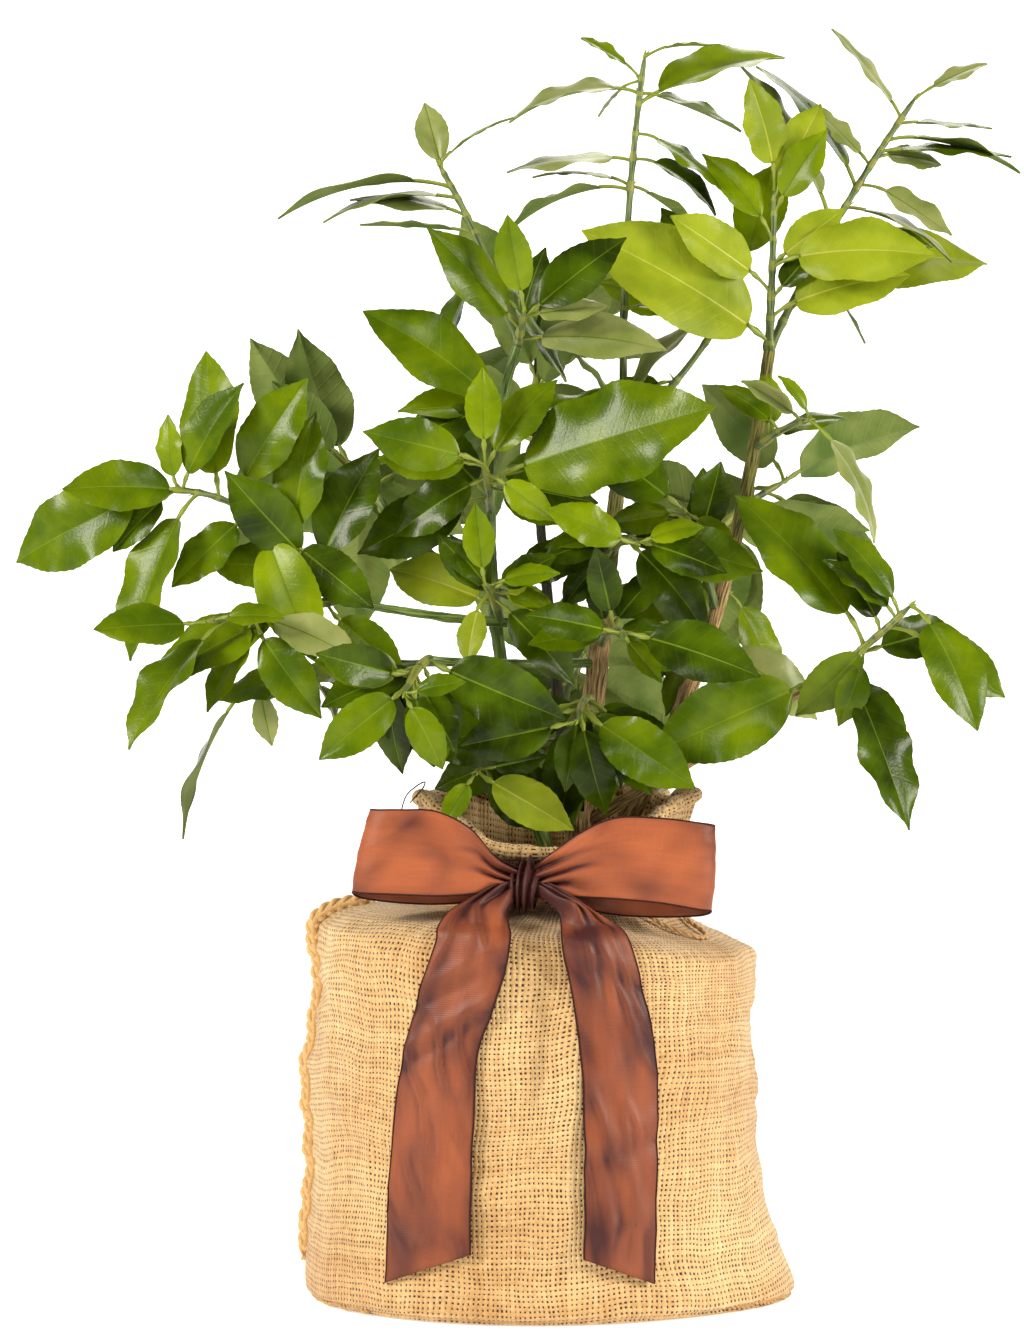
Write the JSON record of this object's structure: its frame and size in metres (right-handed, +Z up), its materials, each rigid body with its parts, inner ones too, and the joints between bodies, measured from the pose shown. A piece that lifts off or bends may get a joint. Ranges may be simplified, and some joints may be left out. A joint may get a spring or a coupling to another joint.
{
  "type": "potted persian lime tree",
  "caption": "Young persian lime tree, 0.64 m tall, in a nursery pot dressed in a hessian sack tied with a wide rust taffeta bow.",
  "frame": {"origin": "The middle of the sack's flat underside, on the surface that the plant stands on.", "axes": "+X to the right in the picture, +Y to the back and +Z up."},
  "size_m": [0.5042, 0.2851, 0.635],
  "materials": {
    "hessian": "matte",
    "plastic": "matte",
    "compost": "matte",
    "jute": "matte",
    "taffeta": "satin",
    "bark": "matte",
    "green_bark": "satin",
    "leaf": "satin",
    "young_leaf": "satin"
  },
  "bodies": {
    "root": {"sack": "hessian", "pot": "plastic", "compost": "compost", "drawstring": "jute", "ribbon_band": "taffeta", "bow_knot": "taffeta", "bow_loop_left": "taffeta", "bow_loop_right": "taffeta", "ribbon_tail_left": "taffeta", "ribbon_tail_right": "taffeta", "trunk": "bark", "stem_right": "bark", "stem_left": "green_bark", "stem_back": "bark", "bough_left": "green_bark", "bough_low": "green_bark", "bough_right": "bark", "bough_back_left": "bark", "bough_back_right": "bark", "crown_mid_right": "young_leaf", "crown_inner": "young_leaf", "crown_top": "leaf", "crown_right": "leaf", "left_spire": "leaf", "left_fork": "leaf", "left_high": "leaf", "left_mid": "leaf", "left_upper": "leaf", "left_lower": "leaf", "left_hang": "leaf", "low_front_left": "leaf", "inner_light": "young_leaf", "front_centre": "leaf", "front_low": "leaf", "collar_front": "leaf", "centre_mid": "leaf", "right_mid": "leaf", "right_inner": "leaf", "right_lowmid": "leaf", "right_low": "leaf", "back_left": "leaf", "back_right": "leaf", "back_centre": "leaf", "back_low": "leaf"}
  },
  "joints": []
}
